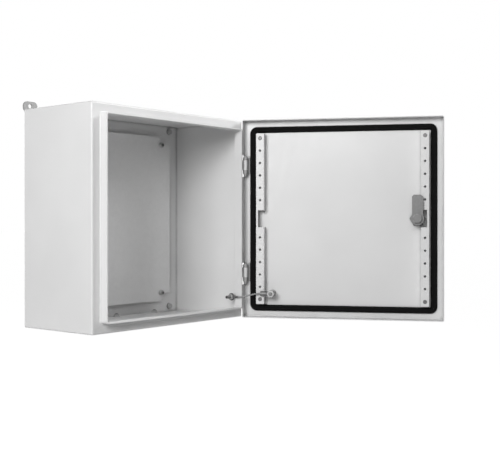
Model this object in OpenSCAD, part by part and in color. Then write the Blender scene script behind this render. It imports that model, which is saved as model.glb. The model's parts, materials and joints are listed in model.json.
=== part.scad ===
// Steel wall enclosure with a hinged door, shown with the door swung open.
// X runs to the right seen from the front, Y to the rear, Z up, in millimetres.
// The origin lies on the wall behind it, midway between its two wall screws.

/* [Cabinet] */
// Outside width of the cabinet
cabinet_w = 400; // [340:10:600]
// Outside height of the cabinet
cabinet_h = 400; // [340:10:800]
// Depth from the rear face to the front flange
cabinet_d = 185; // [165:5:300]
// Thickness of the folded steel sheet
sheet_t = 1.5; // [1:0.25:2]
// Outside radius of the folded edges
fold_r = 3; // [3:0.5:5]

/* [Front frame] */
// Width of the front flange, from the side to the sealing rim
flange_w = 18.5; // [17.5:0.5:22]
// Height of the sealing rim in front of the flange
rim_h = 17; // [14:0.5:20]
// Thickness of the hemmed sealing rim
rim_t = 2.25; // [1.5:0.25:3]
// Outside corner radius of the sealing rim
rim_r = 5; // [4:0.5:8]

/* [Door] */
// Angle by which the door stands open
door_open = 118; // [0:1:130]
// Gap between the front flange and the door's return flanges
door_gap = 1.5; // [1:0.25:3]
// Width of the foam seal
seal_w = 12.5; // [10:0.5:15]
// Thickness of the foam seal
seal_t = 6.5; // [6:0.5:9]
// Outside corner radius of the foam seal
seal_r = 14; // [8:1:20]
// Gap left between the seal and the rim with the door shut
seal_gap = 0.3; // [0.3:0.1:1]

/* [Door strips] */
// Width of each perforated strip
strip_w = 16; // [14:1:22]
// Height of each strip above the door sheet
strip_h = 20; // [14:1:22]
// Thickness of the strip steel
strip_t = 1.25; // [1:0.25:2]
// Distance from the seal to a strip
strip_gap = 3.25; // [2:0.25:6]
// Spacing of the holes along a strip
hole_pitch = 25; // [20:2.5:50]
// Diameter of the strip holes
hole_d = 4.5; // [3:0.5:6]
// Distance from an end screw to the end of its strip
strip_end = 9.5; // [8:0.5:12]
// Height of the notch that clears the lock nut
notch_h = 34; // [34:1:50]
// Width of the notch, cut from the strip's inner side
notch_w = 12; // [10:0.5:13]

/* [Hinges] */
// Distance of each hinge from the door's top or bottom
hinge_end = 91; // [70:1:110]
// Distance of the hinge axis from the cabinet's side
hinge_inset = 4.5; // [4.5:0.25:5]
// Distance of the hinge axis in front of the flange
hinge_front = 13; // [13:0.25:13.5]
// Diameter of the hinge barrel
barrel_d = 9.5; // [9:0.5:10]
// Diameter of the hinge pin
pin_d = 5; // [4:0.25:6]
// Length of the barrel piece on the cabinet
knuckle_h = 20; // [14:1:26]

/* [Lock] */
// Distance of the lock axis from the door's free edge
lock_inset = 51; // [50:1:60]
// Diameter of the lock body where it passes through the door
lock_d = 22; // [20:0.5:24]
// Distance across the flats of the lock nut
lock_nut_af = 27; // [27:0.5:30]
// Length of the cam from the lock axis to its tip
cam_len = 46.5; // [42:0.5:48]
// Width of the cam
cam_w = 21; // [16:1:24]
// Thickness of the cam
cam_t = 3; // [2:0.5:5]

/* [Mounting plate] */
// Width of the mounting plate
plate_w = 332; // [260:2:336]
// Height of the mounting plate
plate_h = 346; // [280:2:350]
// Thickness of the mounting plate
plate_t = 2; // [1.5:0.5:3]
// Space between the rear wall and the mounting plate
plate_off = 9.5; // [6:0.5:30]
// Width of the notch at each corner of the mounting plate
plate_notch_w = 26; // [24:0.5:40]
// Height of the notch at each corner of the mounting plate
plate_notch_h = 16; // [12:1:40]

/* [Wall fixing] */
// Width of a wall bracket's ear
ear_w = 31; // [28:1:40]
// Height of the ear above the cabinet
ear_h = 15; // [14:0.5:30]
// Thickness of a wall bracket
ear_t = 3; // [2:0.5:5]
// Diameter of the hole for the wall screw
ear_hole_d = 8.5; // [5:0.5:10]
// Distance from the cabinet's side to the wall screw hole
ear_hole_in = 12.7; // [12:0.1:16]
// Distance from the cabinet's top to the wall screw hole
ear_hole_up = 6.5; // [6:0.5:8]
// Distance from the cabinet's side to the corner bolts
bolt_in_x = 25; // [20:0.5:27]
// Distance from the cabinet's top and bottom to the corner bolts
bolt_in_z = 12.5; // [11:0.5:16]

/* [Gland plate] */
// Width of the cable opening in the floor
gland_w = 184; // [100:2:190]
// Depth of the cable opening in the floor
gland_d = 84; // [60:2:84]
// Distance from an edge of the cable opening to its row of studs
gland_edge = 13; // [13:0.5:14]
// Thickness of the gland plate
gland_t = 2; // [1.5:0.25:3]
// Thickness of the gland plate's gasket
gasket_t = 2; // [1:0.5:3]

/* [Earthing] */
// Diameter of the earthing stud on the wall
body_stud_d = 6; // [5:0.5:6.5]
// Diameter of the earthing stud on the door
door_stud_d = 8; // [6:0.5:8]
// Diameter of the earth cable
cable_d = 3; // [2:0.25:4]

/* [Hidden] */
$fn = 48;
// Running clearance of a turning fit, on the radius
run = 0.05;
// Clearance of a nut on its stud, on the radius
thread_gap = 0.05;
// Play along the axis of a turning piece, at each end
end_play = 0.2;
// Overshoot of a cutting tool past the surface it cuts
over = 1;
// Clearance of a through hole, on the diameter
hole_gap = 0.5;

half_w = cabinet_w / 2;
half_h = cabinet_h / 2;
inner_w = cabinet_w - 2 * sheet_t;
inner_h = cabinet_h - 2 * sheet_t;
fold_in_r = fold_r - sheet_t;

// Depths, counted from the rear face towards the front
front_y = -cabinet_d;
rim_tip_y = front_y - rim_h;
seal_y = rim_tip_y - seal_gap;
door_in_y = seal_y - seal_t;
door_out_y = door_in_y - sheet_t;
door_rear_y = front_y - door_gap;

// Sealing rim
rim_out = flange_w;
rim_in = flange_w + rim_t;
bend_r = 3;
bend_sunk = 0.5;

// Seal and strips, as distances from the door's edge
seal_shift = 0.6;
seal_in = flange_w + rim_t / 2 - seal_w / 2 - seal_shift;
seal_end = seal_in + seal_w;
strip_in = seal_end + strip_gap;
strip_room = cabinet_h - 2 * (seal_end + strip_end + 2);
strip_steps = floor(strip_room / hole_pitch);
strip_screw_z = strip_steps * hole_pitch / 2;
strip_face_y = door_in_y + strip_h;
strip_r = 1.5;
strip_hole_clear = notch_h / 2 + hole_d / 2 + 1;
strip_screw_d = 5;
strip_screw_l = 14;
strip_post_d = 8;
strip_post_floor = 4;
strip_head_d = 8;
strip_head_top_d = 6.4;
strip_head_h = 2.2;
strip_socket_d = 3.6;
strip_socket_h = 1;
seal_in_r = 2;

// Hinges
hinge_x = half_w - hinge_inset;
hinge_y = front_y - hinge_front;
hinge_z = half_h - hinge_end;
knuckle_gap = 0.3;
door_knuckle_top = 8.2;
door_knuckle_low = 6.7;
tail_h = 6;
tail_d = 5.5;
tail_top_d = barrel_d * 0.92;
leaf_t = 2.5;
leaf_foot_x = half_w - flange_w + bend_r + 0.1;
web_in = 3;
web_out = 1;
door_leaf_t = 2;
door_leaf_w = 9;
door_leaf_x = half_w - sheet_t - fold_in_r - 0.1;
cutout_over = 1.5;
cutout_past = 1.2;
hinge_screw_d = 4;
hinge_screw_x = hinge_x - 7;
hinge_screw_z = knuckle_h * 0.28;
hinge_head_d = 8;
hinge_head_top_d = 6;
hinge_head_h = 2.4;

// Lock
lock_x = -half_w + lock_inset;
lock_head_d = 30;
lock_head_top_d = 27;
lock_head_h = 3.5;
lock_gasket_t = 1;
lock_nut_h = 6;
lock_body_end = 3;
insert_d = 14;
insert_collar_d = 17;
insert_collar_h = 2;
insert_set_in = 0.3;
insert_square = 8;
key_pocket_d = 11;
key_pocket_h = 8;
key_pin_d = 5;
key_bar_w = 3;
key_bar_l = 9;
cam_y = front_y + sheet_t + 0.8;
cam_tail = 13;
cam_corner = 3.5;
cam_bolt_d = 6;
cam_bolt_af = 16;
cam_bolt_h = 5;
cam_bolt_l = 14;
cam_bolt_end_gap = 1.5;
cam_washer_d = 18;
cam_washer_t = 1.5;

// Mounting plate
plate_rear_y = -sheet_t - plate_off;
plate_front_y = plate_rear_y - plate_t;
plate_fix_in = 1;
plate_fix_x = plate_w / 2 - plate_notch_w - plate_fix_in;
plate_fix_z = plate_h / 2 - plate_notch_h - plate_fix_in;
plate_slot_d = 7;
plate_stud_d = 6;
plate_collar_d = 12;
plate_nut_af = 10;
plate_nut_h = 4;
plate_washer_d = 12;
plate_washer_t = 1.2;
plate_stud_out = 6.5;
plate_corner_r = 14;
plate_r = 2;

// Corner bolts and wall brackets
corner_x = half_w - bolt_in_x;
corner_z = half_h - bolt_in_z;
corner_bolt_d = 6;
corner_bolt_af = 10;
corner_bolt_h = 4.5;
corner_flange_d = 12;
corner_flange_t = 1;
corner_seal_d = 12.5;
corner_seal_t = 1;
ear_past = 2;
ear_low = 5;
ear_r = 9;
leg_w = 26;
leg_l = 32;
leg_r = 3;

// Gland plate
gland_y = -28 - gland_edge - gland_d / 2;
gland_stud_d = 6;
gland_stud_x = gland_w / 2 + gland_edge;
gland_stud_y = gland_d / 2 + gland_edge;
gland_rim = gland_edge + 11;
gland_plate_w = gland_w + 2 * gland_rim;
gland_plate_d = gland_d + 2 * gland_rim;
gland_r = 6;
gland_stud_past = 1.5;
gland_nut_af = 10;
gland_nut_h = 5;
gland_flange_d = 13;
gland_flange_t = 1.2;
floor_z = -half_h + sheet_t;
gland_top_z = floor_z + gasket_t + gland_t;

// Earthing studs: one on the right wall, one on the door
body_nut_af = 10;
body_nut_h = 4;
door_nut_af = 13;
door_nut_h = 6.5;
body_base_d = 9;
door_base_d = 12;
earth_base_t = 3.5;
body_stud_y = front_y + 7.5;
body_stud_z = -half_h + 41.5;
body_stud_l = 38.5;
door_stud_x = half_w - 60;
door_stud_z = -half_h + 49.5;
door_stud_l = 35;
lug_t = 1.5;
lug_ring_d = 15;
lug_barrel_d = 4;
lug_barrel_l = 10;
body_lug_x = half_w - sheet_t - 21.5;
door_barrel_d = 10;
door_barrel_l = 14;
lug_strip_gap = 0.25;
lug_nut_gap = 0.3;
lug_bore_gap = 0.1;
door_lug_y = strip_face_y + lug_strip_gap + door_barrel_d / 2;

// Earth cable: a smooth curve between the mouths of the two lugs' barrels
cable_sides = 8;
cable_steps = 10;
cable_pull = 17;
cable_in = 4;
mouth_reach = lug_ring_d / 2 + lug_barrel_l;
door_mouth_reach = lug_ring_d / 2 + door_barrel_l;

paint = [0.80, 0.81, 0.80];
zinc = [0.66, 0.67, 0.68];
foam = [0.08, 0.08, 0.09];
rubber = [0.15, 0.15, 0.16];
grey_lead = [0.55, 0.55, 0.56];

// ---- shared shapes ----

// Rectangle with round corners, centred on the origin
module rounded_rect(w, h, r) {
    square([w - 2 * r, h], center = true);
    square([w, h - 2 * r], center = true);
    for (x = [-1, 1], y = [-1, 1])
        translate([x * (w / 2 - r), y * (h / 2 - r)]) circle(r);
}

// Stands an outline up in the X-Z plane and extrudes it forwards from y_rear
module forwards(y_rear, length) {
    translate([0, y_rear, 0]) rotate([90, 0, 0]) linear_extrude(length) children();
}

// Section of a pan, square at the rear and rounded at its two front corners
module front_rounded(w, length, r) {
    translate([-w / 2, r - length]) square([w, length - r + over]);
    translate([r - w / 2, -length]) square([w - 2 * r, 2 * r]);
    for (x = [-1, 1])
        translate([x * (w / 2 - r), r - length]) circle(r);
}

// Block with every edge rounded but those at the rear
module folded_block(w, h, y_rear, length, r) {
    intersection() {
        forwards(y_rear, length) rounded_rect(w, h, r);
        translate([0, y_rear, -h / 2 - over]) linear_extrude(h + 2 * over) front_rounded(w, length, r);
        translate([-w / 2 - over, y_rear, 0]) rotate([0, 90, 0])
            linear_extrude(w + 2 * over) front_rounded(h, length, r);
    }
}

// Pan folded from sheet, open at the rear
module folded_pan(w, h, y_rear, length) {
    difference() {
        folded_block(w, h, y_rear, length, fold_r);
        folded_block(w - 2 * sheet_t, h - 2 * sheet_t, y_rear + over, length + over - sheet_t, fold_in_r);
    }
}

// Flat frame between two rounded rectangles
module frame_outline(w_out, h_out, r_out, w_in, h_in, r_in) {
    difference() {
        rounded_rect(w_out, h_out, r_out);
        rounded_rect(w_in, h_in, r_in);
    }
}

// Hexagon head or nut blank, chamfered at its free end, standing on Z = 0
module hex_block(af, h) {
    intersection() {
        cylinder(h = h, d = af / cos(30), $fn = 6);
        // turned edge at the free end
        rotate_extrude()
            polygon([[0, 0], [af * 0.6, 0], [af * 0.6, h - af * 0.06], [af * 0.48, h], [0, h]]);
    }
}

// Plain nut, standing on Z = 0
module plain_nut(af, h, bore_d) {
    difference() {
        hex_block(af, h);
        translate([0, 0, -over]) cylinder(h = h + 2 * over, d = bore_d);
    }
}

// Nut with a flange, standing on Z = 0
module flange_nut(af, h, flange_d, flange_t, bore_d) {
    difference() {
        union() {
            hex_block(af, h);
            cylinder(h = flange_t, d = flange_d);
        }
        translate([0, 0, -over]) cylinder(h = h + 2 * over, d = bore_d);
    }
}

// Stud with a chamfered tip, standing on Z = 0
module stud(d, h) {
    cylinder(h = h - d / 8, d = d);
    translate([0, 0, h - d / 8]) cylinder(h = d / 8, d1 = d, d2 = d * 0.75);
}

// Turns a shape that stands on Z = 0 so that it stands forwards, towards -Y
module facing_front() {
    rotate([90, 0, 0]) children();
}

// Turns a shape that stands on Z = 0 so that it stands rearwards, towards +Y
module facing_rear() {
    rotate([-90, 0, 0]) children();
}

// Puts a shape at each of four corners
module at_corners(x, z) {
    for (sx = [-1, 1], sz = [-1, 1]) translate([sx * x, 0, sz * z]) children();
}

// Swings what belongs to the door, which is drawn shut, to its open place
module on_door() {
    translate([hinge_x, hinge_y, 0]) rotate([0, 0, door_open]) translate([-hinge_x, -hinge_y, 0])
        children();
}

// ---- cabinet ----

// Moves what is drawn round the cabinet's middle to its place below the wall screws
module in_place() {
    translate([0, -ear_t, -half_h - ear_hole_up]) children();
}

module gland_stud_places() {
    for (x = [-1, 0, 1], y = [-1, 1])
        translate([x * gland_stud_x, gland_y + y * gland_stud_y, 0]) children();
}

module hinge_screw_places() {
    for (z = [-1, 1], dz = [-1, 1])
        translate([hinge_screw_x, front_y, z * hinge_z + dz * hinge_screw_z]) children();
}

// Section of the hollow bend, with the rim to its left and the flange below
module bend_section() {
    difference() {
        translate([-bend_sunk, -bend_sunk]) square(bend_r + bend_sunk);
        translate([bend_r, bend_r]) circle(bend_r, $fn = 24);
    }
}

// Half the bend round the foot of the rim: one side, one end and the corner between
module rim_bend(w, h) {
    translate([w / 2, front_y, 0]) mirror([0, 1, 0])
        linear_extrude(h - 2 * rim_r, center = true) bend_section();
    translate([0, front_y, h / 2]) rotate([0, -90, 0]) mirror([0, 1, 0])
        linear_extrude(w - 2 * rim_r, center = true) bend_section();
    for (m = [0, 1]) mirror([0, 0, m]) translate([w / 2 - rim_r, front_y, h / 2 - rim_r])
        facing_front() rotate_extrude(angle = 90) translate([rim_r, 0]) bend_section();
}

// Four walls folded from one sheet, with the front flange and the sealing rim
module cabinet_shell() {
    rim_w = cabinet_w - 2 * rim_out;
    rim_z = cabinet_h - 2 * rim_out;
    mouth_w = cabinet_w - 2 * rim_in;
    mouth_h = cabinet_h - 2 * rim_in;
    color(paint) difference() {
        union() {
            folded_pan(cabinet_w, cabinet_h, 0, cabinet_d);
            forwards(front_y + sheet_t, sheet_t + rim_h) rounded_rect(rim_w, rim_z, rim_r);
            for (turn = [0, 180]) rotate([0, turn, 0]) rim_bend(rim_w, rim_z);
        }
        forwards(front_y + sheet_t + over, sheet_t + rim_h + 2 * over)
            rounded_rect(mouth_w, mouth_h, rim_r - rim_t);
        translate([0, gland_y, -half_h - over]) linear_extrude(sheet_t + 2 * over)
            rounded_rect(gland_w, gland_d, gland_r);
        hinge_screw_places() facing_rear() translate([0, 0, -over])
            cylinder(h = sheet_t + 2 * over, d = hinge_screw_d + 2 * thread_gap);
    }
}

// Sheet welded in between the four walls
module rear_wall() {
    color(paint) difference() {
        forwards(0, sheet_t) rounded_rect(inner_w, inner_h, fold_in_r);
        at_corners(corner_x, corner_z) forwards(over, sheet_t + 2 * over)
            circle(d = corner_bolt_d + hole_gap);
    }
}

// Blank plate that closes the cable opening from inside
module gland_plate() {
    color(paint) difference() {
        translate([0, gland_y, floor_z + gasket_t]) linear_extrude(gland_t)
            rounded_rect(gland_plate_w, gland_plate_d, gland_r);
        gland_stud_places() translate([0, 0, floor_z])
            cylinder(h = gasket_t + gland_t + over, d = gland_stud_d + hole_gap);
    }
}

module gland_gasket() {
    color(rubber) difference() {
        translate([0, gland_y, floor_z]) linear_extrude(gasket_t)
            frame_outline(gland_plate_w, gland_plate_d, gland_r, gland_w, gland_d, gland_r);
        gland_stud_places() translate([0, 0, floor_z - over])
            cylinder(h = gasket_t + 2 * over, d = gland_stud_d + hole_gap);
    }
}

module gland_plate_studs() {
    color(zinc) gland_stud_places() translate([0, 0, floor_z])
        stud(gland_stud_d, gasket_t + gland_t + gland_nut_h + gland_stud_past);
}

module gland_plate_nuts() {
    color(zinc) gland_stud_places() translate([0, 0, gland_top_z])
        flange_nut(gland_nut_af, gland_nut_h, gland_flange_d, gland_flange_t,
            gland_stud_d + 2 * thread_gap);
}

// Outline of the mounting plate: notched corners, round shoulders at the top
module plate_outline() {
    neck_w = plate_w - 2 * plate_notch_w;
    rounded_rect(plate_w, plate_h - 2 * plate_notch_h, plate_r);
    rounded_rect(neck_w, plate_h, plate_corner_r);
    translate([0, -plate_h / 4]) rounded_rect(neck_w, plate_h / 2, plate_r);
}

module mounting_plate() {
    color(zinc) difference() {
        forwards(plate_rear_y, plate_t) plate_outline();
        // round cuts for the studs, open at the inner corners of the notches
        at_corners(plate_fix_x, plate_fix_z) forwards(plate_rear_y + over, plate_t + 2 * over)
            circle(d = plate_slot_d);
    }
}

// Studs on the rear wall, each with a spacing collar
module mounting_plate_studs() {
    color(zinc) at_corners(plate_fix_x, plate_fix_z) translate([0, -sheet_t, 0]) facing_front() {
        cylinder(h = plate_off, d = plate_collar_d);
        stud(plate_stud_d, plate_off + plate_t + plate_washer_t + plate_stud_out);
    }
}

module mounting_plate_nuts() {
    color(zinc) at_corners(plate_fix_x, plate_fix_z) translate([0, plate_front_y, 0]) facing_front()
        flange_nut(plate_nut_af, plate_washer_t + plate_nut_h, plate_washer_d, plate_washer_t,
            plate_stud_d + 2 * thread_gap);
}

// Bracket behind a top corner, with an ear above the cabinet; side is -1 left, 1 right
module wall_bracket(side) {
    ear_x = half_w + ear_past - ear_w / 2;
    color(zinc) difference() {
        forwards(ear_t, ear_t) {
            translate([side * ear_x, half_h + (ear_h - ear_low) / 2])
                rounded_rect(ear_w, ear_h + ear_low, ear_r);
            translate([side * corner_x, half_h + (ear_low - leg_l) / 2])
                rounded_rect(leg_w, leg_l - ear_low, leg_r);
        }
        translate([side * (half_w - ear_hole_in), 0, half_h + ear_hole_up])
            forwards(ear_t + over, ear_t + 2 * over) circle(d = ear_hole_d);
        translate([side * corner_x, 0, corner_z])
            forwards(ear_t + over, ear_t + 2 * over) circle(d = corner_bolt_d + 2 * thread_gap);
    }
}

module wall_bracket_left() {
    wall_bracket(-1);
}

module wall_bracket_right() {
    wall_bracket(1);
}

// Flanged hexagon bolts through the rear wall, heads inside
module corner_bolts() {
    color(zinc) at_corners(corner_x, corner_z) translate([0, -sheet_t - corner_seal_t, 0]) {
        facing_front() {
            hex_block(corner_bolt_af, corner_bolt_h);
            cylinder(h = corner_flange_t, d = corner_flange_d);
        }
        facing_rear() cylinder(h = corner_seal_t + sheet_t + ear_t, d = corner_bolt_d);
    }
}

module corner_bolt_seals() {
    color(rubber) at_corners(corner_x, corner_z) translate([0, -sheet_t, 0]) facing_front() difference() {
        cylinder(h = corner_seal_t, d = corner_seal_d);
        translate([0, 0, -over]) cylinder(h = corner_seal_t + 2 * over, d = corner_bolt_d + 2 * thread_gap);
    }
}

// Thin nuts that close the two bottom bolt holes and space the cabinet off its wall
module corner_bolt_nuts() {
    color(zinc) for (x = [-1, 1]) translate([x * corner_x, 0, -corner_z]) facing_rear()
        plain_nut(corner_bolt_af, ear_t, corner_bolt_d + 2 * thread_gap);
}

// ---- hinges ----

// Cabinet leaf: a foot on the front flange, a web and the middle knuckle
module hinge_cabinet_leaf(z) {
    foot_w = hinge_x + web_out - leaf_foot_x;
    color(paint) translate([0, 0, z - knuckle_h / 2]) difference() {
        union() {
            translate([leaf_foot_x, front_y - leaf_t, 0]) cube([foot_w, leaf_t, knuckle_h]);
            translate([hinge_x - web_in, hinge_y, 0])
                cube([web_in + web_out, hinge_front - leaf_t / 2, knuckle_h]);
            translate([hinge_x, hinge_y, 0]) cylinder(h = knuckle_h, d = barrel_d);
        }
        translate([hinge_x, hinge_y, -over]) cylinder(h = knuckle_h + 2 * over, d = pin_d);
        for (dz = [-1, 1]) translate([hinge_screw_x, front_y, knuckle_h / 2 + dz * hinge_screw_z])
            facing_front() translate([0, 0, -over])
                cylinder(h = leaf_t + 2 * over, d = hinge_screw_d + 2 * thread_gap);
    }
}

module hinge_cabinet_leaf_upper() {
    hinge_cabinet_leaf(hinge_z);
}

module hinge_cabinet_leaf_lower() {
    hinge_cabinet_leaf(-hinge_z);
}

// Pin pressed into the cabinet's knuckle, which turns in the door's two knuckles
module hinge_pin(z) {
    reach_up = knuckle_h / 2 + knuckle_gap + door_knuckle_top / 2;
    reach_down = knuckle_h / 2 + knuckle_gap + door_knuckle_low;
    color(zinc) translate([hinge_x, hinge_y, z - reach_down])
        cylinder(h = reach_down + reach_up, d = pin_d);
}

module hinge_pin_upper() {
    hinge_pin(hinge_z);
}

module hinge_pin_lower() {
    hinge_pin(-hinge_z);
}

// Pan-head screws from inside the front flange into the cabinet leaves
module hinge_screws() {
    color(zinc) hinge_screw_places() {
        facing_front() cylinder(h = leaf_t, d = hinge_screw_d);
        facing_rear() {
            cylinder(h = sheet_t, d = hinge_screw_d);
            translate([0, 0, sheet_t])
                cylinder(h = hinge_head_h, d1 = hinge_head_d, d2 = hinge_head_top_d);
        }
    }
}

// Top knuckle of the door leaf, closed by a dome
module dome_knuckle() {
    dome_r = barrel_d / 2;
    sink = dome_r / 5;
    flat_h = door_knuckle_top + sink - dome_r;
    cylinder(h = flat_h, r = dome_r);
    translate([0, 0, flat_h]) intersection() {
        translate([0, 0, -sink]) sphere(norm([dome_r, sink]));
        cylinder(h = dome_r, r = dome_r);
    }
}

// Bottom knuckle of the door leaf, ending in a cone
module tail_knuckle() {
    translate([0, 0, -door_knuckle_low]) cylinder(h = door_knuckle_low, d = barrel_d);
    translate([0, 0, -door_knuckle_low - tail_h]) cylinder(h = tail_h, d1 = tail_d, d2 = tail_top_d);
}

// Door leaf: a plate on the door sheet and two arms with the outer knuckles
module hinge_door_leaf(z) {
    top_z = knuckle_h / 2 + knuckle_gap;
    arm_x = hinge_x - web_in;
    bore_up = top_z + door_knuckle_top / 2 + end_play;
    bore_down = top_z + door_knuckle_low + end_play;
    on_door() color(paint) translate([0, 0, z]) difference() {
        union() {
            translate([door_leaf_x - door_leaf_w, door_in_y, -top_z - door_knuckle_low])
                cube([door_leaf_w, door_leaf_t, 2 * top_z + door_knuckle_low + door_knuckle_top]);
            translate([arm_x, door_in_y, top_z])
                cube([door_leaf_x - arm_x, hinge_y - door_in_y, door_knuckle_top / 2]);
            translate([arm_x, door_in_y, -top_z - door_knuckle_low])
                cube([door_leaf_x - arm_x, hinge_y - door_in_y, door_knuckle_low]);
            translate([hinge_x, hinge_y, top_z]) dome_knuckle();
            translate([hinge_x, hinge_y, -top_z]) tail_knuckle();
        }
        translate([hinge_x, hinge_y, -bore_down])
            cylinder(h = bore_down + bore_up, r = pin_d / 2 + run);
    }
}

module hinge_door_leaf_upper() {
    hinge_door_leaf(hinge_z);
}

module hinge_door_leaf_lower() {
    hinge_door_leaf(-hinge_z);
}

// ---- door ----

// Sheet pan with return flanges, cut out at the hinges and bored for the lock
module door_panel() {
    pan_l = door_rear_y - door_out_y;
    cut_up = knuckle_h / 2 + knuckle_gap + door_knuckle_top + cutout_over;
    cut_down = knuckle_h / 2 + knuckle_gap + door_knuckle_low + tail_h + cutout_over;
    cut_front = hinge_y - barrel_d / 2 - cutout_past;
    on_door() color(paint) difference() {
        folded_pan(cabinet_w, cabinet_h, door_rear_y, pan_l);
        for (z = [-hinge_z, hinge_z])
            translate([half_w - sheet_t - over, cut_front, z - cut_down])
                cube([sheet_t + 2 * over, door_rear_y - cut_front + over, cut_up + cut_down]);
        translate([lock_x, 0, 0]) forwards(door_in_y + over, sheet_t + 2 * over)
            circle(d = lock_d + hole_gap);
    }
}

module door_seal() {
    on_door() color(foam) forwards(seal_y, seal_t)
        frame_outline(cabinet_w - 2 * seal_in, cabinet_h - 2 * seal_in, seal_r,
            cabinet_w - 2 * seal_end, cabinet_h - 2 * seal_end, seal_in_r);
}

// Hat-shaped strip, hollow towards the door, drawn on the lock side
module door_strip() {
    length = 2 * (strip_screw_z + strip_end);
    x_out = -half_w + strip_in;
    x_mid = x_out + strip_w / 2;
    color(paint) difference() {
        translate([x_mid, 0, 0]) forwards(strip_face_y, strip_h) rounded_rect(strip_w, length, strip_r);
        // hollow under the face
        translate([x_mid, 0, 0]) forwards(strip_face_y - strip_t, strip_h)
            square([strip_w - 2 * strip_t, length - 2 * strip_t], center = true);
        // notch from the inner side, over the whole height of the strip
        translate([x_out + strip_w - notch_w, door_in_y - over, -notch_h / 2])
            cube([notch_w + over, strip_h + 2 * over, notch_h]);
        for (i = [1 : strip_steps - 1])
            if (abs(i * hole_pitch - strip_screw_z) > strip_hole_clear)
                translate([x_mid, 0, i * hole_pitch - strip_screw_z])
                    forwards(strip_face_y + over, strip_t + 2 * over) circle(d = hole_d);
        for (z = [-1, 1]) translate([x_mid, 0, z * strip_screw_z])
            forwards(strip_face_y + over, strip_t + 2 * over) circle(d = strip_screw_d + 2 * thread_gap);
    }
}

module door_strip_lock_side() {
    on_door() door_strip();
}

module door_strip_hinge_side() {
    on_door() mirror([1, 0, 0]) door_strip();
}

module strip_screw_places() {
    for (x = [-1, 1], z = [-1, 1])
        translate([x * (half_w - strip_in - strip_w / 2), 0, z * strip_screw_z]) children();
}

// Threaded posts on the door sheet that carry the strips
module door_strip_posts() {
    on_door() color(zinc) strip_screw_places() translate([0, door_in_y, 0]) facing_rear() difference() {
        cylinder(h = strip_h - strip_t, d = strip_post_d);
        translate([0, 0, strip_post_floor]) cylinder(h = strip_h, d = strip_screw_d + 2 * thread_gap);
    }
}

module door_strip_screws() {
    on_door() color(zinc) strip_screw_places() translate([0, strip_face_y, 0]) {
        facing_front() cylinder(h = strip_screw_l, d = strip_screw_d);
        facing_rear() difference() {
            cylinder(h = strip_head_h, d1 = strip_head_d, d2 = strip_head_top_d);
            translate([0, 0, strip_head_h - strip_socket_h])
                cylinder(h = strip_socket_h + over, d = strip_socket_d, $fn = 6);
        }
    }
}

// ---- lock ----

// Round head outside, threaded body through the door, bored for the insert
module lock_body() {
    body_l = cam_y - lock_body_end - door_out_y;
    on_door() color(zinc) translate([lock_x, door_out_y - lock_gasket_t, 0]) difference() {
        union() {
            facing_front() cylinder(h = lock_head_h, d1 = lock_head_d, d2 = lock_head_top_d);
            facing_rear() cylinder(h = lock_gasket_t + body_l, d = lock_d);
        }
        translate([0, -lock_head_h - over, 0]) facing_rear() {
            cylinder(h = over + insert_set_in + insert_collar_h + end_play, r = insert_collar_d / 2 + run);
            cylinder(h = over + lock_head_h + lock_gasket_t + body_l + over, r = insert_d / 2 + run);
        }
    }
}

module lock_gasket() {
    on_door() color(rubber) translate([lock_x, door_out_y, 0]) facing_front() difference() {
        cylinder(h = lock_gasket_t, d = lock_head_d);
        translate([0, 0, -over]) cylinder(h = lock_gasket_t + 2 * over, d = lock_d + 2 * thread_gap);
    }
}

module lock_nut() {
    on_door() color(zinc) translate([lock_x, door_in_y, 0]) facing_rear() rotate(30)
        plain_nut(lock_nut_af, lock_nut_h, lock_d + 2 * thread_gap);
}

// Round insert with a double-bit key pocket in front and a square end behind
module lock_insert() {
    front = door_out_y - lock_gasket_t - lock_head_h + insert_set_in;
    on_door() color(zinc) translate([lock_x, front, 0]) facing_rear() difference() {
        union() {
            cylinder(h = insert_collar_h, d = insert_collar_d);
            cylinder(h = cam_y - front, d = insert_d);
            translate([-insert_square / 2, -insert_square / 2, cam_y - front - over])
                cube([insert_square, insert_square, cam_t + over]);
        }
        difference() {
            translate([0, 0, -over]) cylinder(h = key_pocket_h + over, d = key_pocket_d);
            cylinder(h = key_pocket_h + over, d = key_pin_d);
            translate([-key_bar_w / 2, -key_bar_l / 2, 0]) cube([key_bar_w, key_bar_l, key_pocket_h + over]);
        }
        translate([0, 0, cam_y + cam_t - front - cam_bolt_l])
            cylinder(h = cam_bolt_l + over, d = cam_bolt_d + 2 * thread_gap);
    }
}

// Tongue that points up when unlocked and sideways when locked
module lock_cam() {
    on_door() color(zinc) translate([lock_x, 0, 0]) forwards(cam_y + cam_t, cam_t) difference() {
        union() {
            translate([-cam_w / 2, 0]) square([cam_w, cam_len - cam_corner]);
            polygon([[-cam_w / 2, cam_len - cam_corner], [cam_w / 2, cam_len - cam_corner],
                [cam_w / 2 - cam_corner, cam_len], [cam_corner - cam_w / 2, cam_len]]);
            circle(cam_tail);
        }
        square(insert_square + 2 * run, center = true);
    }
}

module cam_washer() {
    on_door() color(zinc) translate([lock_x, cam_y + cam_t, 0]) facing_rear() difference() {
        cylinder(h = cam_washer_t, d = cam_washer_d);
        translate([0, 0, -over]) cylinder(h = cam_washer_t + 2 * over, d = cam_bolt_d + 2 * thread_gap);
    }
}

module cam_bolt() {
    on_door() color(zinc) translate([lock_x, cam_y + cam_t + cam_washer_t, 0]) {
        facing_rear() rotate(30) hex_block(cam_bolt_af, cam_bolt_h);
        facing_front() cylinder(h = cam_washer_t + cam_bolt_l - cam_bolt_end_gap, d = cam_bolt_d);
    }
}

// ---- earthing ----

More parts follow.
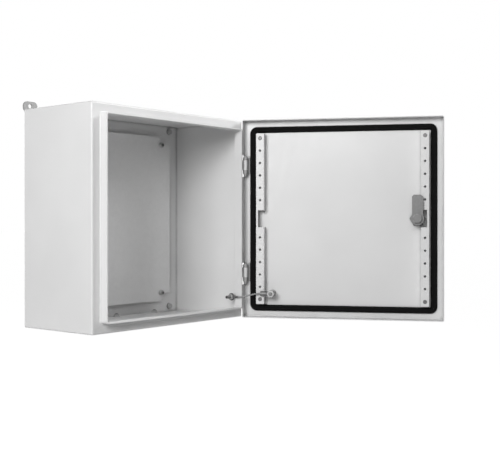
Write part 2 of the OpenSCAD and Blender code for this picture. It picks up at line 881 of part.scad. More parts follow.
// Stud on the right wall, with its contact collar
module cabinet_earth_stud() {
    color(zinc) translate([half_w - sheet_t, body_stud_y, body_stud_z]) rotate([0, -90, 0]) {
        cylinder(h = earth_base_t, d = body_base_d);
        stud(body_stud_d, body_stud_l);
    }
}

// One nut on each side of the lug
module cabinet_earth_nuts() {
    color(zinc) translate([body_lug_x, body_stud_y, body_stud_z]) {
        rotate([0, 90, 0]) plain_nut(body_nut_af, body_nut_h, body_stud_d + 2 * thread_gap);
        translate([-lug_t, 0, 0]) rotate([0, -90, 0])
            plain_nut(body_nut_af, body_nut_h, body_stud_d + 2 * thread_gap);
    }
}

// Ring terminal lying flat on Z = 0, its barrel pointing along +X
module ring_lug(stud_d, barrel_d, barrel_l) {
    neck = lug_ring_d / 2;
    difference() {
        union() {
            cylinder(h = lug_t, d = lug_ring_d);
            translate([0, -barrel_d / 2, 0]) cube([neck + 2 * lug_nut_gap, barrel_d, lug_t]);
            translate([neck + lug_nut_gap, 0, lug_t / 2]) rotate([0, 90, 0])
                cylinder(h = barrel_l - lug_nut_gap, d = barrel_d);
        }
        translate([0, 0, -over]) cylinder(h = lug_t + 2 * over, d = stud_d + 2 * thread_gap);
        translate([neck + barrel_l - cable_in - over, 0, lug_t / 2]) rotate([0, 90, 0])
            cylinder(h = cable_in + 2 * over, d = cable_d + 2 * lug_bore_gap);
    }
}

module cabinet_earth_lug() {
    color(zinc) translate([body_lug_x, body_stud_y, body_stud_z]) rotate([0, -90, 0]) rotate(-90)
        ring_lug(body_stud_d, lug_barrel_d, lug_barrel_l);
}

module door_earth_stud() {
    on_door() color(zinc) translate([door_stud_x, door_in_y, door_stud_z]) facing_rear() {
        cylinder(h = earth_base_t, d = door_base_d);
        stud(door_stud_d, door_stud_l);
    }
}

module door_earth_nuts() {
    on_door() color(zinc) translate([door_stud_x, door_lug_y, door_stud_z]) {
        facing_front() plain_nut(door_nut_af, door_nut_h, door_stud_d + 2 * thread_gap);
        translate([0, lug_t, 0]) facing_rear()
            plain_nut(door_nut_af, door_nut_h, door_stud_d + 2 * thread_gap);
    }
}

// The door's lug, its barrel pointing towards the hinges
module door_earth_lug() {
    on_door() color(zinc) translate([door_stud_x, door_lug_y, door_stud_z]) facing_rear()
        ring_lug(door_stud_d, door_barrel_d, door_barrel_l);
}

// A point or a direction of the shut door, turned to the door's open place
function turned(v) = [
    cos(door_open) * v.x - sin(door_open) * v.y,
    sin(door_open) * v.x + cos(door_open) * v.y,
    v.z
];

// Point at t on the curve that leaves a along da and reaches b along db
function curve_point(a, da, b, db, t) =
    a * pow(1 - t, 3) + (a + da) * 3 * t * pow(1 - t, 2)
        + (b - db) * 3 * t * t * (1 - t) + b * pow(t, 3);

// Round tube swept along a list of points
module swept_tube(path, d, sides) {
    last = len(path) - 1;
    function unit(v) = v / norm(v);
    function heading(i) = unit(path[min(i + 1, last)] - path[max(i - 1, 0)]);
    function side_axis(i) = unit(cross(heading(i), [0, 0, 1]));
    function ring(i) = [for (k = [0 : sides - 1])
        path[i] + d / 2 * (cos(360 * k / sides) * side_axis(i)
            + sin(360 * k / sides) * cross(side_axis(i), heading(i)))];
    points = [for (i = [0 : last]) each ring(i)];
    walls = [for (i = [0 : last - 1], k = [0 : sides - 1])
        [i * sides + k, i * sides + (k + 1) % sides,
            (i + 1) * sides + (k + 1) % sides, (i + 1) * sides + k]];
    ends = [[for (k = [sides - 1 : -1 : 0]) k], [for (k = [0 : sides - 1]) last * sides + k]];
    polyhedron(points, concat(walls, ends), convexity = 6);
}

// Cable from inside the cabinet's lug to inside the door's lug
module earth_cable() {
    hinge = [hinge_x, hinge_y, 0];
    door_mouth = [door_stud_x + door_mouth_reach, door_lug_y + lug_t / 2, door_stud_z];
    from = [body_lug_x - lug_t / 2, body_stud_y - mouth_reach, body_stud_z];
    out = [0, -1, 0];
    to = hinge + turned(door_mouth - hinge);
    into = turned([-1, 0, 0]);
    path = concat(
        [from - out * cable_in],
        [for (i = [0 : cable_steps])
            curve_point(from, out * cable_pull, to, into * cable_pull, i / cable_steps)],
        [to + into * cable_in]
    );
    color(grey_lead) swept_tube(path, cable_d, cable_sides);
}

in_place() cabinet_shell();
in_place() rear_wall();
in_place() gland_plate();
in_place() gland_gasket();
in_place() gland_plate_studs();
in_place() gland_plate_nuts();
in_place() mounting_plate();
in_place() mounting_plate_studs();
in_place() mounting_plate_nuts();
in_place() wall_bracket_left();
in_place() wall_bracket_right();
in_place() corner_bolts();
in_place() corner_bolt_seals();
in_place() corner_bolt_nuts();
in_place() hinge_cabinet_leaf_upper();
in_place() hinge_cabinet_leaf_lower();
in_place() hinge_pin_upper();
in_place() hinge_pin_lower();
in_place() hinge_screws();
in_place() cabinet_earth_stud();
in_place() cabinet_earth_nuts();
in_place() cabinet_earth_lug();
in_place() earth_cable();
in_place() door_panel();
in_place() door_seal();
in_place() door_strip_hinge_side();
in_place() door_strip_lock_side();
in_place() door_strip_posts();
in_place() door_strip_screws();
in_place() hinge_door_leaf_upper();
in_place() hinge_door_leaf_lower();
in_place() lock_body();
in_place() lock_gasket();
in_place() lock_nut();
in_place() door_earth_stud();
in_place() door_earth_nuts();
in_place() door_earth_lug();
in_place() lock_insert();
in_place() lock_cam();
in_place() cam_washer();
in_place() cam_bolt();
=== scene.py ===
import json
import math

import bpy
from mathutils import Matrix, Vector


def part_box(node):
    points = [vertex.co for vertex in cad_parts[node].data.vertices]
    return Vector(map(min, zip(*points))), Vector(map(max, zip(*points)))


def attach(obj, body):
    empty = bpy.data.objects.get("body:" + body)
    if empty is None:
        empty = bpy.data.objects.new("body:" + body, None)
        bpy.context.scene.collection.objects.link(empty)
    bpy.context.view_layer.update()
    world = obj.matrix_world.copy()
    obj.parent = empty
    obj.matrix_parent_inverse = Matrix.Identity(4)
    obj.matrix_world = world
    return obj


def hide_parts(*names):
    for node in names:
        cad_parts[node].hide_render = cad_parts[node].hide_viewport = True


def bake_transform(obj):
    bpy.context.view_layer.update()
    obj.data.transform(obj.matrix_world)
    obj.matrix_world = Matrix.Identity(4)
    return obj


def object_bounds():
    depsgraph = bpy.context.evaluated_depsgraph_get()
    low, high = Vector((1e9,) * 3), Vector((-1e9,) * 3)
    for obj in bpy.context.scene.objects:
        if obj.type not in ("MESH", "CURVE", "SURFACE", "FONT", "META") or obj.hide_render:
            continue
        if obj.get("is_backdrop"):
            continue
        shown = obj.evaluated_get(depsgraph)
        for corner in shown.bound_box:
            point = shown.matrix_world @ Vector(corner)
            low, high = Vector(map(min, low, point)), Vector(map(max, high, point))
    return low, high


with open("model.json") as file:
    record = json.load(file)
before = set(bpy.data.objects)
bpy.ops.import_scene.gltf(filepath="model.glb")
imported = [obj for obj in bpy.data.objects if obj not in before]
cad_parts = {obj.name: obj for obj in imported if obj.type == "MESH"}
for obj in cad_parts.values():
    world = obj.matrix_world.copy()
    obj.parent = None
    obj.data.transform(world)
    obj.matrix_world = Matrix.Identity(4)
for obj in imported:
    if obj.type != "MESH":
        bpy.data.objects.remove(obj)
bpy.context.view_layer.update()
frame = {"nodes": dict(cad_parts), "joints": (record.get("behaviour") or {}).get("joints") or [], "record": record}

nodes = frame["nodes"]
slotOf = {part["node"]: part["material_slot"] for part in frame["record"]["subparts"]}
print("frame loaded:", len(nodes), "nodes")

# takes a place on the shut door to the same place on the open one
doorJoint = next(joint for joint in frame["joints"] if joint["name"] == "door_hinge")
hingeAxis = Vector(doorJoint["pos_m"])
doorSwing = math.radians(-doorJoint["range_deg"][0])
doorPlace = (Matrix.Translation(hingeAxis) @ Matrix.Rotation(doorSwing, 4, "Z")
             @ Matrix.Translation(-hingeAxis))
doorRight = doorPlace.to_3x3() @ Vector((1, 0, 0))
doorInward = doorPlace.to_3x3() @ Vector((0, 1, 0))


camera = {
    "place": (-1.20735, -1.35019, -0.21382),
    "yaw": 50.978,  # degrees to the right of straight ahead
    "pitch": -0.168,
    "lens": 64.15,
    "sensor": 36,
    "nearest": 0.01,
    "farthest": 100,
}


def makeCamera(look):
    data = bpy.data.cameras.new("camera")
    data.sensor_width = look["sensor"]
    data.lens = look["lens"]
    data.clip_start = look["nearest"]
    data.clip_end = look["farthest"]
    obj = bpy.data.objects.new("camera", data)
    obj.location = look["place"]
    obj.rotation_euler = (math.radians(90 + look["pitch"]), 0, -math.radians(look["yaw"]))
    bpy.context.scene.collection.objects.link(obj)
    bpy.context.scene.camera = obj


makeCamera(camera)
print("camera placed")


# a material while it is built: its nodes, its links and its surface shader
class Shader:
    def __init__(self, name):
        self.material = bpy.data.materials.new(name)
        self.material.use_nodes = True
        self.tree = self.material.node_tree
        self.surface = self.tree.nodes["Principled BSDF"]
        self.place = self.add("ShaderNodeTexCoord").outputs["Object"]

    def add(self, kind, **values):
        node = self.tree.nodes.new(kind)
        for key, value in values.items():
            setattr(node, key, value)
        return node

    def link(self, source, target):
        self.tree.links.new(source, target)

    def scaled(self, stretch):
        node = self.add("ShaderNodeMapping")
        node.inputs["Scale"].default_value = stretch
        self.link(self.place, node.inputs["Vector"])
        return node.outputs["Vector"]

    def noise(self, scale, detail=3.0, rough=0.5, stretch=None):
        node = self.add("ShaderNodeTexNoise")
        node.inputs["Scale"].default_value = scale
        node.inputs["Detail"].default_value = detail
        node.inputs["Roughness"].default_value = rough
        self.link(self.scaled(stretch) if stretch else self.place, node.inputs["Vector"])
        return node.outputs["Fac"]

    def cells(self, scale, output="Color"):
        node = self.add("ShaderNodeTexVoronoi")
        node.inputs["Scale"].default_value = scale
        self.link(self.place, node.inputs["Vector"])
        return node.outputs[output]

    def ramp(self, source, low, high, outLow, outHigh):
        node = self.add("ShaderNodeMapRange")
        ends = {"From Min": low, "From Max": high, "To Min": outLow, "To Max": outHigh}
        for key, value in ends.items():
            node.inputs[key].default_value = value
        self.link(source, node.inputs["Value"])
        return node.outputs["Result"]

    # takes the middle of a noise, where nearly all of it lies, to the given ends
    def spread(self, source, outLow, outHigh):
        return self.ramp(source, 0.3, 0.7, outLow, outHigh)

    # mixes two grey levels by a value from 0 to 1
    def blend(self, amount, first, second):
        node = self.add("ShaderNodeMix", data_type="RGBA")
        self.link(amount, node.inputs[0])
        for socket, value in ((node.inputs[6], first), (node.inputs[7], second)):  # its colours
            if isinstance(value, (int, float)):
                socket.default_value = (value, value, value, 1)
            else:
                self.link(value, socket)
        return node.outputs[2]

    def product(self, first, second):
        node = self.add("ShaderNodeMath", operation="MULTIPLY")
        self.link(first, node.inputs[0])
        self.link(second, node.inputs[1])
        return node.outputs["Value"]

    # the surface's direction with its edges rounded off
    def rounded(self, radius):
        bevel = self.add("ShaderNodeBevel", samples=4)
        bevel.inputs["Radius"].default_value = radius
        return bevel.outputs["Normal"]

    # 0 on a flat surface, 1 where it turns sharply within the radius
    def edge(self, radius):
        dot = self.add("ShaderNodeVectorMath", operation="DOT_PRODUCT")
        self.link(self.rounded(radius), dot.inputs[0])
        self.link(self.add("ShaderNodeNewGeometry").outputs["Normal"], dot.inputs[1])
        return self.ramp(dot.outputs["Value"], 0.98, 0.80, 0.0, 1.0)

    # 1 deep in a corner or a narrow gap, 0 on an open surface
    def crease(self, reach):
        node = self.add("ShaderNodeAmbientOcclusion", samples=8)
        node.inputs["Distance"].default_value = reach
        return self.ramp(node.outputs["AO"], 0.25, 0.80, 1.0, 0.0)

    # lays bumps of (height, depth in metres, strength) over each other and over softened edges
    def relief(self, heights, soften=0.0):
        normal = self.rounded(soften) if soften else None
        for height, depth, strength in heights:
            bump = self.add("ShaderNodeBump")
            bump.inputs["Distance"].default_value = depth
            bump.inputs["Strength"].default_value = strength
            self.link(height, bump.inputs["Height"])
            if normal:
                self.link(normal, bump.inputs["Normal"])
            normal = bump.outputs["Normal"]
        self.link(normal, self.surface.inputs["Normal"])

    def set(self, **values):
        for key, value in values.items():
            socket = self.surface.inputs[key.replace("_", " ")]
            if isinstance(value, bpy.types.NodeSocket):
                self.link(value, socket)
            else:
                socket.default_value = value


# shades are grey levels from 0 to 1, clouds, patches, speckles and grain are counted to the metre,
# and depths and radii are in metres
powderCoat = {
    "shade": 0.78,
    "clouds": 7,
    "drift": 0.025,  # how far the clouds lighten and darken the coat
    "speckles": 2600,
    "speckleShade": 0.72,  # times the coat's shade
    "roughness": 0.36,
    "glossPatches": 90,
    "orangePeel": 260,
    "peelDepth": 0.00015,
    "grain": 1500,
    "grainDepth": 0.00004,
    "edgeRadius": 0.0006,
    "wornRadius": 0.0009,
    "wornPatches": 120,
    "wornShade": 0.60,
    # painted shade in corners and gaps where sheets meet: its patches, its reach and the grey it darkens to
    "shadePatches": 30,
    "paintedShadeReach": 0.009,
    "paintedShadeLevel": 0.22,
}
# on the hinges the painted shade is darker in the seams between the knuckles and leaves
hingeCoat = dict(powderCoat, paintedShadeReach=0.005, paintedShadeLevel=0.02, shade=0.80)
# the door's hinge leaves are a copy of the coat painted darker, as painted shade
shadedLeafCoat = dict(powderCoat, paintedShadeReach=0.006, paintedShadeLevel=0.01, shade=0.42)


def makePowderCoat(name, look):
    s = Shader(name)
    shade, roughness = look["shade"], look["roughness"]
    cloud = s.noise(look["clouds"], detail=2)
    speckle = s.noise(look["speckles"], detail=1)
    base = s.blend(s.spread(cloud, 0, 1), shade - look["drift"], shade + look["drift"])
    base = s.blend(s.ramp(speckle, 0.62, 0.75, 0, 0.10), base, shade * look["speckleShade"])
    # the coat is thinner, and a little worn, on sharp edges
    worn = s.product(s.edge(look["wornRadius"]), s.noise(look["wornPatches"], detail=4))
    base = s.blend(s.ramp(worn, 0.25, 0.6, 0, 0.35), base, look["wornShade"])
    # painted shade darkens corners and narrow gaps where two sheets meet, broken into patches
    shadeBreakup = s.spread(s.noise(look["shadePatches"], detail=2), 0.55, 0.9)
    base = s.blend(s.product(s.crease(look["paintedShadeReach"]), shadeBreakup), base, look["paintedShadeLevel"])
    s.set(
        Base_Color=base,
        Roughness=s.spread(s.noise(look["glossPatches"], detail=3), roughness - 0.04, roughness + 0.05),
        Specular_IOR_Level=0.5,
    )
    peel, grain = s.noise(look["orangePeel"], detail=2), s.noise(look["grain"], detail=2)
    s.relief([(peel, look["peelDepth"], 0.35), (grain, look["grainDepth"], 0.4)],
             soften=look["edgeRadius"])
    return s.material


zincPlate = {
    "shade": 0.28,
    "clouds": 160,
    "drift": 0.04,
    "metal": 0.75,
    "roughness": 0.42,
    "glossPatches": 420,
    "grain": 900,
    "grainDepth": 0.00003,
    "edgeRadius": 0.0003,
    "highlightRadius": 0.0006,
    "highlightGain": 1.9,  # how much brighter the painted highlight makes a sharp edge
}
# the nuts and bolts inside have a paler plating, the crimped lugs and strip screws a darker one
innerZinc = dict(zincPlate, shade=0.50, drift=0.06, metal=0.45)
tinnedLug = dict(zincPlate, shade=0.17, drift=0.03, metal=0.6)


def makeZinc(name, look):
    s = Shader(name)
    shade, roughness = look["shade"], look["roughness"]
    cloud = s.noise(look["clouds"], detail=5, rough=0.65)
    base = s.blend(s.spread(cloud, 0, 1), shade - look["drift"], shade + look["drift"])
    # painted highlight: sharp edges are drawn brighter
    edgeHighlight = s.ramp(s.edge(look["highlightRadius"]), 0.2, 0.9, 0, 0.5)
    base = s.blend(edgeHighlight, base, shade * look["highlightGain"])
    s.set(
        Base_Color=base,
        Metallic=look["metal"],
        Roughness=s.spread(s.noise(look["glossPatches"], detail=4), roughness - 0.07, roughness + 0.10),
    )
    grain = s.noise(look["grain"], detail=3)
    s.relief([(grain, look["grainDepth"], 0.35)], soften=look["edgeRadius"])
    return s.material


threadCut = {
    "pitch": 0.00125,
    "depth": 0.0006,
    "shade": 0.26,
    "valleyShadow": 0.45,  # painted shade in the valleys, times the thread's shade, as the crest's painted highlight is
    "crestHighlight": 1.25,
    "smoothest": 0.28,
    "roughest": 0.42,
    "glossPatches": 700,
    "edgeRadius": 0.0002,
}


# plated steel with turned ridges that ring the given axis
def makeThread(name, axis, look):
    s = Shader(name)
    along = s.add("ShaderNodeVectorMath", operation="DOT_PRODUCT")
    along.inputs[1].default_value = axis
    s.link(s.place, along.inputs[0])
    saw = s.add("ShaderNodeMath", operation="PINGPONG")
    saw.inputs[1].default_value = look["pitch"] / 2
    s.link(along.outputs["Value"], saw.inputs[0])
    ridge = s.ramp(saw.outputs["Value"], 0, look["pitch"] / 2, 0, 1)
    shade = look["shade"]
    # painted shade in the valleys and painted highlight on the crests of the ridges
    s.set(
        Base_Color=s.blend(ridge, shade * look["valleyShadow"], shade * look["crestHighlight"]),
        Metallic=1.0,
        Roughness=s.spread(s.noise(look["glossPatches"], detail=3), look["smoothest"], look["roughest"]),
    )
    s.relief([(ridge, look["depth"], 1.0)], soften=look["edgeRadius"])
    return s.material


galvanised = {
    "shade": 0.82,
    "spangle": 140,
    "streaks": 14,
    "roughness": 0.46,
    "metal": 0.22,
    "grain": 800,
    "grainDepth": 0.00003,
    "edgeRadius": 0.0003,
}
wallBracket = dict(galvanised, shade=0.36, spangle=160, roughness=0.48, metal=0.25)


def makeGalvanised(name, look):
    s = Shader(name)
    shade, roughness = look["shade"], look["roughness"]
    cells = s.cells(look["spangle"])
    grey = s.add("ShaderNodeRGBToBW")
    s.link(cells, grey.inputs["Color"])
    flake = grey.outputs["Val"]
    base = s.blend(s.ramp(flake, 0.2, 0.8, 0, 1), shade * 0.985, shade * 1.015)
    # long faint streaks from the bath
    streak = s.noise(look["streaks"], detail=3, stretch=(1, 1, 0.25))
    base = s.blend(s.ramp(streak, 0.35, 0.65, 0, 0.15), base, shade * 0.94)
    s.set(
        Base_Color=base,
        Metallic=look["metal"],
        Roughness=s.ramp(flake, 0.2, 0.8, roughness - 0.05, roughness + 0.06),
    )
    grain = s.noise(look["grain"], detail=3)
    s.relief([(grain, look["grainDepth"], 0.3)], soften=look["edgeRadius"])
    return s.material


castZinc = {
    "shade": 0.20,
    "clouds": 220,
    "metal": 0.45,
    "roughness": 0.52,
    "glossPatches": 300,
    "grain": 1300,
    "grainDepth": 0.00006,
    "edgeRadius": 0.0004,
    "highlightRadius": 0.0007,
    "highlightGain": 1.6,
}


def makeCast(look):
    s = Shader("castZinc")
    shade, roughness = look["shade"], look["roughness"]
    cloud = s.noise(look["clouds"], detail=4)
    base = s.blend(s.spread(cloud, 0, 1), shade * 0.92, shade * 1.08)
    # painted highlight: sharp edges are drawn brighter
    edgeHighlight = s.ramp(s.edge(look["highlightRadius"]), 0.2, 0.9, 0, 0.5)
    base = s.blend(edgeHighlight, base, shade * look["highlightGain"])
    s.set(
        Base_Color=base,
        Metallic=look["metal"],
        Roughness=s.spread(s.noise(look["glossPatches"], detail=3), roughness - 0.05, roughness + 0.08),
    )
    grain = s.noise(look["grain"], detail=3)
    s.relief([(grain, look["grainDepth"], 0.5)], soften=look["edgeRadius"])
    return s.material


foamSkin = {
    "shade": 0.0035,
    "pores": 900,
    "poreDepth": 0.00015,
    "waves": 180,
    "waveDepth": 0.0003,
    "roughness": 0.78,
    "glossPatches": 260,
    "shine": 0.12,
}


def makeFoam(look):
    s = Shader("foamSkin")
    shade, roughness = look["shade"], look["roughness"]
    pore = s.cells(look["pores"], output="Distance")
    # painted shade: the pits of the pores are drawn darker
    s.set(
        Base_Color=s.blend(s.ramp(pore, 0.15, 0.6, 0, 1), shade * 0.5, shade * 1.5),
        Roughness=s.spread(s.noise(look["glossPatches"], detail=3), roughness - 0.1, roughness + 0.1),
        Specular_IOR_Level=look["shine"],
    )
    wave = s.noise(look["waves"], detail=3)
    s.relief([(wave, look["waveDepth"], 0.5), (pore, look["poreDepth"], 0.6)])
    return s.material


blackRubber = {
    "shade": 0.018,
    "clouds": 400,
    "roughness": 0.6,
    "grain": 1800,
    "grainDepth": 0.00005,
    "edgeRadius": 0.0003,
}


def makeRubber(look):
    s = Shader("blackRubber")
    shade, roughness = look["shade"], look["roughness"]
    cloud = s.noise(look["clouds"], detail=3)
    s.set(
        Base_Color=s.blend(s.spread(cloud, 0, 1), shade * 0.8, shade * 1.4),
        Roughness=s.spread(cloud, roughness - 0.08, roughness + 0.08),
    )
    grain = s.noise(look["grain"], detail=2)
    s.relief([(grain, look["grainDepth"], 0.5)], soften=look["edgeRadius"])
    return s.material


cableSheath = {
    "shade": 0.30,
    "clouds": 300,
    "roughness": 0.42,
    "grain": 1500,
    "grainDepth": 0.00004,
}


def makeSheath(look):
    s = Shader("cableSheath")
    shade, roughness = look["shade"], look["roughness"]
    cloud = s.noise(look["clouds"], detail=3)
    s.set(
        Base_Color=s.blend(s.spread(cloud, 0, 1), shade * 0.9, shade * 1.1),
        Roughness=s.spread(cloud, roughness - 0.06, roughness + 0.08),
    )
    grain = s.noise(look["grain"], detail=2)
    s.relief([(grain, look["grainDepth"], 0.5)])
    return s.material


finish = {
    "paint": makePowderCoat("powderCoat", powderCoat),
    "hinge": makePowderCoat("hingeCoat", hingeCoat),
    "shadedLeaf": makePowderCoat("shadedLeafCoat", shadedLeafCoat),
    "lug": makeZinc("tinnedLug", tinnedLug),
    "zinc": makeZinc("zincPlate", zincPlate),
    "innerZinc": makeZinc("innerZinc", innerZinc),
    "galvanised": makeGalvanised("galvanised", galvanised),
    "bracket": makeGalvanised("wallBracket", wallBracket),
    "cast": makeCast(castZinc),
    "foam": makeFoam(foamSkin),
    "rubber": makeRubber(blackRubber),
    "sheath": makeSheath(cableSheath),
    "threadX": makeThread("threadAlongX", (1, 0, 0), threadCut),
    "threadY": makeThread("threadAlongY", (0, 1, 0), threadCut),
    "threadZ": makeThread("threadAlongZ", (0, 0, 1), threadCut),
    "threadDoor": makeThread("threadOnDoor", tuple(doorInward), threadCut),
}
slotFinish = {
    "painted_steel": "paint",
    "zinc_plated_steel": "zinc",
    "galvanised_steel": "galvanised",
    "lock_zinc": "cast",
    "foam_seal": "foam",
    "rubber": "rubber",
    "cable_sheath": "sheath",
}
# the nodes that differ from the rest of their slot
nodeFinish = {
    "hinge_cabinet_leaf_upper": "hinge",
    "hinge_cabinet_leaf_lower": "hinge",
    "hinge_door_leaf_upper": "shadedLeaf",
    "hinge_door_leaf_lower": "shadedLeaf",
    "cabinet_earth_nuts": "innerZinc",
    "door_earth_nuts": "innerZinc",
    "cabinet_earth_lug": "lug",
    "door_earth_lug": "lug",
    "door_strip_screws": "lug",
    "wall_bracket_left": "bracket",
    "wall_bracket_right": "bracket",
    "mounting_plate_nuts": "innerZinc",
    "gland_plate_nuts": "innerZinc",
    "corner_bolts": "innerZinc",
    "cabinet_earth_stud": "threadX",
    "door_earth_stud": "threadDoor",
    "mounting_plate_studs": "threadY",
    "gland_plate_studs": "threadZ",
}


def dress(obj, name):
    obj.data.materials.clear()
    obj.data.materials.append(finish[name])


for node, slot in slotOf.items():
    dress(nodes[node], nodeFinish.get(node, slotFinish[slot]))
print("materials made:", len(finish))


def meshPiece(name, points, faces, body, material, smooth=True):
    mesh = bpy.data.meshes.new(name)
    mesh.from_pydata([tuple(p) for p in points], [], faces)
    mesh.validate()
    if smooth:
        mesh.polygons.foreach_set("use_smooth", [True] * len(mesh.polygons))
    obj = bpy.data.objects.new(name, mesh)
    bpy.context.scene.collection.objects.link(obj)
    dress(obj, material)
    if body:
        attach(obj, body)
    return obj


# four-sided faces between rings of the same number of points, joined up into a loop or left open
def ringFaces(total, count, joined):
    faces = []
    for i in range(total if joined else total - 1):
        j = (i + 1) % total
        for k in range(count):
            n = (k + 1) % count
            faces.append((i * count + k, i * count + n, j * count + n, j * count + k))
    return faces


# the two flat ends of an open row of rings
def ringEnds(total, count):
    return [tuple(range(count - 1, -1, -1)), tuple((total - 1) * count + k for k in range(count))]


earthCable = {
    "diameter": 0.003,
    "pull": 0.017,  # the longer it is, the straighter the cable leaves each lug
    "inside": 0.004,  # how deep it sits in each lug
    "points": 24,
    "sides": 20,
    "doorMouth": (0.1615, -0.1858, -0.357),  # the door lug's mouth with the door shut
}


def cableRoute(look):
    low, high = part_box("cabinet_earth_lug")
    start = Vector(((low.x + high.x) / 2, low.y, (low.z + high.z) / 2))
    out = Vector((0, -1, 0))
    end = doorPlace @ Vector(look["doorMouth"])
    into = -doorRight
    first, second = start + out * look["pull"], end - into * look["pull"]
    curve = []
    for i in range(look["points"] + 1):
        t = i / look["points"]
        curve.append(start * (1 - t) ** 3 + first * 3 * t * (1 - t) ** 2
                     + second * 3 * t * t * (1 - t) + end * t ** 3)
    return [start - out * look["inside"]] + curve + [end + into * look["inside"]]


# points and faces of a round tube along a path, closed at both ends
def tubeMesh(path, radius, sides):
    last = len(path) - 1
    points = []
    for i, p in enumerate(path):
        heading = (path[min(i + 1, last)] - path[max(i - 1, 0)]).normalized()
        side = heading.cross(Vector((0, 0, 1))).normalized()
        up = side.cross(heading)
        for k in range(sides):
            a = 2 * math.pi * k / sides
            points.append(p + radius * (math.cos(a) * side + math.sin(a) * up))
    return points, ringFaces(len(path), sides, False) + ringEnds(len(path), sides)


def makeEarthCable(look):
    path = cableRoute(look)
    points, faces = tubeMesh(path, look["diameter"] / 2, look["sides"])
    cable = meshPiece("earthCable", points, faces, None, "sheath")
    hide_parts("earth_cable")
    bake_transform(cable)


makeEarthCable(earthCable)


foamSeal = {
    "fromEdge": 0.012775,  # from the cabinet's outline to the bead
    "standOff": 0.0068,  # from the cabinet's front to the bead's foot, with the door shut
    "width": 0.0125,
    "height": 0.0065,
    "corner": 0.014,
    "innerCorner": 0.002,
    "cornerSteps": 10,
    "groove": 0.0010,  # the line that the rim has pressed in
}


# a rounded rectangle in X and Z, with the same number of points at every corner
def roundedLoop(w, h, r, steps):
    loop = []
    for cx, cz, first in ((1, 1, 0), (-1, 1, 90), (-1, -1, 180), (1, -1, 270)):
        for i in range(steps + 1):
            a = math.radians(first + 90 * i / steps)
            loop.append((cx * (w / 2 - r) + r * math.cos(a), cz * (h / 2 - r) + r * math.sin(a)))
    return loop


# a poured bead: round shoulders, a flat crown and the line that the rim presses in
def makeSeal(look):
    low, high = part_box("cabinet_shell")
    width, height = high.x - low.x, high.z - low.z
    centre = (low + high) / 2
    foot = low.y - look["standOff"]
    pressed = 1 - look["groove"] / look["height"]
    # the bead's section, as shares of its width and height, from the outside in
    section = [
        (0.0, 0.0), (0.02, 0.35), (0.06, 0.62), (0.13, 0.84), (0.22, 0.96), (0.34, 1.0), (0.45, 1.0),
        (0.49, 0.93), (0.55, pressed), (0.61, 0.93), (0.65, 1.0), (0.71, 1.0),
        (0.79, 0.96), (0.87, 0.84), (0.94, 0.62), (0.98, 0.35), (1.0, 0.0),
    ]
    points = []
    for across, up in section:
        inset = look["fromEdge"] + look["width"] * across
        radius = look["corner"] + (look["innerCorner"] - look["corner"]) * across
        for x, z in roundedLoop(width - 2 * inset, height - 2 * inset, radius, look["cornerSteps"]):
            points.append(doorPlace @ Vector((centre.x + x, foot + look["height"] * up, centre.z + z)))
    # the rings run the other way round here, so each face is turned over
    quads = ringFaces(len(section), len(points) // len(section), True)
    faces = [(a, d, c, b) for a, b, c, d in quads]
    seal = meshPiece("doorSealBead", points, faces, "door", "foam")
    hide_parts("door_seal")


makeSeal(foamSeal)
print("seal made")


lockHexes = {
    "sides": 96,
    "chamferAcross": 0.48,  # radius of the flat face, as a share of the size across flats
    "chamferSlope": 0.5,
    "nutAcross": 0.027,
    "nutBore": 0.022,
    "boltAcross": 0.016,
    "boltHead": 0.005,
    "boltShank": 0.006,
}
lockJoint = next(joint for joint in frame["joints"] if joint["name"] == "lock_turn")
lockCentre = Vector(lockJoint["pos_m"])


# how far a node reaches along the door's inward direction, from the lock's centre
def inwardSpan(node):
    reach = [(vertex.co - lockCentre).dot(doorInward) for vertex in nodes[node].data.vertices]
    return min(reach), max(reach)


# a round ring: the same radius and height at every angle
def roundRing(radius, height):
    return lambda angle: (radius, height)


# the rings of a hexagon with a turned edge at its free end, with corners to the left and right
def hexRings(across, low, high, look):
    face = across * look["chamferAcross"]

    def reach(angle):
        return across / 2 / math.cos((angle % math.radians(60)) - math.radians(30))

    def foot(angle):
        return reach(angle), low

    def shoulder(angle):
        return reach(angle), high - look["chamferSlope"] * (reach(angle) - face)

    return [foot, shoulder, roundRing(face, high)]


# each ring gives, for an angle, how far out and how far in its point lies
def hexPiece(name, node, body, rings, joined, look):
    count = look["sides"]
    points = []
    for ring in rings:
        for k in range(count):
            angle = 2 * math.pi * k / count
            out, inward = ring(angle)
            outward = math.cos(angle) * doorRight + math.sin(angle) * Vector((0, 0, 1))
            points.append(lockCentre + out * outward + inward * doorInward)
    faces = ringFaces(len(rings), count, joined)
    if not joined:
        faces += ringEnds(len(rings), count)
    piece = meshPiece(name, points, faces, body, "cast", smooth=False)
    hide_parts(node)


def makeLockHexes(look):
    low, high = inwardSpan("lock_nut")
    bore = look["nutBore"] / 2
    rings = hexRings(look["nutAcross"], low, high, look) + [roundRing(bore, high), roundRing(bore, low)]
    hexPiece("lockNutHex", "lock_nut", "door", rings, True, look)
    low, high = inwardSpan("cam_bolt")
    seat = high - look["boltHead"]
    shank = look["boltShank"] / 2
    rings = [roundRing(shank, low), roundRing(shank, seat)] + hexRings(look["boltAcross"], seat, high, look)
    hexPiece("camBoltHex", "cam_bolt", "lock", rings, False, look)


makeLockHexes(lockHexes)
print("lock nut and cam bolt made")


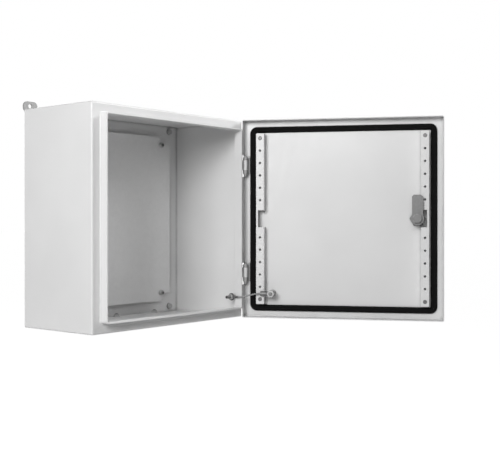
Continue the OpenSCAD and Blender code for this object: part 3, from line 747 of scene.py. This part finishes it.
studio = {
    "floorDrop": 0.55,
    "floorReach": 60,
    "floorShade": 0.5,
    "floorRoughness": 0.9,
    "floorShine": 0.1,
    "floorGlow": 0.95,
    "ambient": 0.06,
    "mirrored": 0.42,  # how bright the backdrop and floor look in metal
    "aim": (0.05, -0.2, -0.2065),
    "lampDistance": 2.0,
    # each lamp: degrees round from the front (right is positive), degrees up, side in metres, watts
    "lamps": {
        "leftLamp": (-70, 17, 0.7, 23.5),
        "frontLamp": (-50, 24, 0.8, 7),
        "rightLamp": (48, 38, 0.9, 28),
        "backLamp": (-115, 5, 1.2, 3),
        "topLamp": (0, 88, 1.0, 1),
        "rearLamp": (145, 8, 1.2, 30),
    },
}


def combine(tree, operation, first, second):
    node = tree.nodes.new("ShaderNodeMath")
    node.operation = operation
    for socket, value in zip(node.inputs, (first, second)):
        if isinstance(value, (int, float)):
            socket.default_value = value
        else:
            tree.links.new(value, socket)
    return node.outputs["Value"]


# 1 where the camera looks at a surface, straight or through glass, and less where metal mirrors it
def seenDirectly(tree, mirrored):
    path = tree.nodes.new("ShaderNodeLightPath")
    direct = combine(tree, "MAXIMUM", path.outputs["Is Camera Ray"], path.outputs["Is Transmission Ray"])
    shiny = combine(tree, "MULTIPLY", path.outputs["Is Glossy Ray"], mirrored)
    return combine(tree, "MAXIMUM", direct, shiny)


def makeFloor(look):
    reach = look["floorReach"]
    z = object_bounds()[0].z - look["floorDrop"]
    corners = [(-reach, -reach, z), (reach, -reach, z), (reach, reach, z), (-reach, reach, z)]
    mesh = bpy.data.meshes.new("floor")
    mesh.from_pydata(corners, [], [(0, 1, 2, 3)])
    floor = bpy.data.objects.new("floor", mesh)
    bpy.context.scene.collection.objects.link(floor)
    material = bpy.data.materials.new("palePaper")
    material.use_nodes = True
    tree = material.node_tree
    surface = tree.nodes["Principled BSDF"]
    surface.inputs["Base Color"].default_value = (look["floorShade"],) * 3 + (1,)
    surface.inputs["Roughness"].default_value = look["floorRoughness"]
    surface.inputs["Specular IOR Level"].default_value = look["floorShine"]
    # looked at directly the paper glows, so that it meets the white backdrop
    glow = combine(tree, "MULTIPLY", seenDirectly(tree, look["mirrored"]), look["floorGlow"])
    surface.inputs["Emission Color"].default_value = (1, 1, 1, 1)
    tree.links.new(glow, surface.inputs["Emission Strength"])
    floor.data.materials.append(material)
    floor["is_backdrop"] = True


# a white backdrop that lights the object only a little
def makeWorld(look):
    world = bpy.data.worlds.new("studio")
    bpy.context.scene.world = world
    world.use_nodes = True
    tree = world.node_tree
    background = tree.nodes["Background"]
    strength = tree.nodes.new("ShaderNodeMix")
    strength.inputs[2].default_value = look["ambient"]
    strength.inputs[3].default_value = 1.0
    tree.links.new(seenDirectly(tree, look["mirrored"]), strength.inputs[0])
    background.inputs["Color"].default_value = (1, 1, 1, 1)
    tree.links.new(strength.outputs[0], background.inputs["Strength"])


def makeLamps(look):
    for name, (around, up, side, power) in look["lamps"].items():
        around, up = math.radians(around), math.radians(up)
        heading = Vector((math.sin(around) * math.cos(up), -math.cos(around) * math.cos(up), math.sin(up)))
        data = bpy.data.lights.new(name, "AREA")
        data.size = side
        data.energy = power
        lamp = bpy.data.objects.new(name, data)
        lamp.location = Vector(look["aim"]) + look["lampDistance"] * heading
        lamp.rotation_euler = (-heading).to_track_quat("-Z", "Y").to_euler()
        lamp.visible_camera = False
        bpy.context.scene.collection.objects.link(lamp)


makeFloor(studio)
makeWorld(studio)
makeLamps(studio)
bpy.context.scene.view_settings.view_transform = "Standard"
print("studio made")
